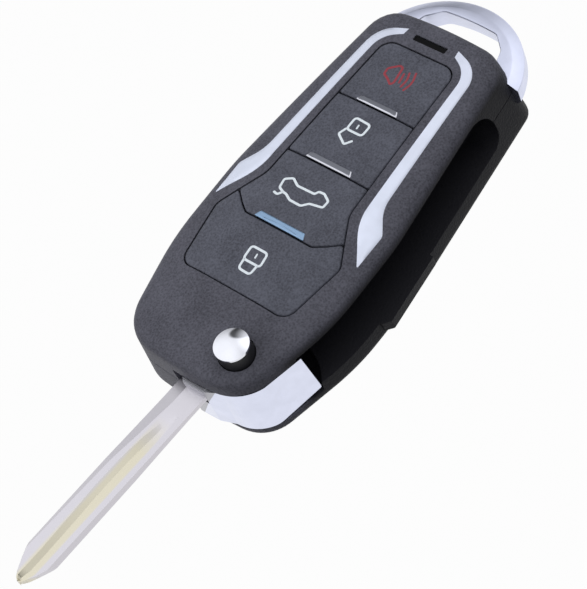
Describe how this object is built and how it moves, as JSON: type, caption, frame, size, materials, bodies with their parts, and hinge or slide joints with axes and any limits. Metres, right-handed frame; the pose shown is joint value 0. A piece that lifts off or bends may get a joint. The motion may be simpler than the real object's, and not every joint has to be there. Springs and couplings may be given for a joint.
{
  "type": "car remote key",
  "caption": "Folding car remote key: grained case with key caps, a sprung flip blade on a round hub, a domed release button and a metal key ring loop.",
  "frame": {"origin": "on the flat back, on the middle plane of the case", "axes": "+Z out of the face with the caps, +Y towards the key ring loop, +X to the side that the blade folds into"},
  "size_m": [0.0395, 0.132, 0.0203],
  "materials": {
    "case": "fine grained dark grey moulding",
    "cap": "fine grained dark grey key cap",
    "trim": "satin bright plating",
    "rim": "polished plating",
    "bar": "bright plating",
    "blue_bar": "blue tinted plating",
    "loop": "satin plating",
    "hub": "die cast, satin grey plating",
    "blade": "milled, satin nickel plating",
    "pin": "ground",
    "button": "black moulding",
    "dome": "polished plating",
    "spring": "drawn wire",
    "window": "smoked, polished",
    "membrane": "moulded silicone",
    "board": "green solder resist on glass laminate",
    "switch": "stamped sheet",
    "led": "clear moulded package",
    "chip": "black moulded package",
    "can": "drawn can",
    "coil": "enamelled copper winding",
    "capsule": "black moulded capsule",
    "cell": "drawn steel can",
    "contact": "stamped spring sheet",
    "screw": "plated"
  },
  "bodies": {
    "case": {"top_shell": "case", "bottom_shell": "case", "trim_left": "trim", "trim_right": "trim", "indicator_window": "window", "key_ring_loop": "loop", "key_membrane": "membrane", "circuit_board": "board", "tact_switch_panic": "switch", "tact_switch_unlock": "switch", "tact_switch_trunk": "switch", "tact_switch_lock": "switch", "indicator_led": "led", "controller_chip": "chip", "radio_chip": "chip", "crystal_can": "can", "antenna_coil": "coil", "transponder": "capsule", "coin_cell": "cell", "battery_contact_negative": "contact", "battery_contact_positive": "contact", "case_screws": "screw"},
    "key_panic": {"keycap_panic": "cap", "bar_panic": "bar"},
    "key_unlock": {"keycap_unlock": "cap", "bar_unlock": "bar"},
    "key_trunk": {"keycap_trunk": "cap", "bar_trunk": "blue_bar"},
    "key_lock": {"keycap_lock": "cap"},
    "flip_hub": {"flip_hub": "hub", "hub_rim": "rim", "blade": "blade", "blade_pin": "pin", "flip_spring": "spring"},
    "release_button": {"release_button": "button", "release_cap": "dome"}
  },
  "joints": [
    {"name": "blade_flip", "type": "hinge", "parent": "case", "child": "flip_hub", "pos_m": [0.0088, -0.0309, 0.0075], "axis": [0, 0, 1], "range_deg": [0, 186], "stiffness_Nm_per_rad": 0.002, "springref_deg": -28.65},
    {"name": "release_press", "type": "slide", "parent": "flip_hub", "child": "release_button", "axis": [0, 0, -1], "range_m": [0, 0.0023], "stiffness_N_per_m": 300, "springref_m": -0.002, "deforming": ["flip_spring"]},
    {"name": "press_panic", "type": "slide", "parent": "case", "child": "key_panic", "axis": [0, 0, -1], "range_m": [0, 0.00045], "stiffness_N_per_m": 400, "springref_m": -0.0003},
    {"name": "press_unlock", "type": "slide", "parent": "case", "child": "key_unlock", "axis": [0, 0, -1], "range_m": [0, 0.00045], "stiffness_N_per_m": 400, "springref_m": -0.0003},
    {"name": "press_trunk", "type": "slide", "parent": "case", "child": "key_trunk", "axis": [0, 0, -1], "range_m": [0, 0.00045], "stiffness_N_per_m": 400, "springref_m": -0.0003},
    {"name": "press_lock", "type": "slide", "parent": "case", "child": "key_lock", "axis": [0, 0, -1], "range_m": [0, 0.00045], "stiffness_N_per_m": 400, "springref_m": -0.0003}
  ]
}
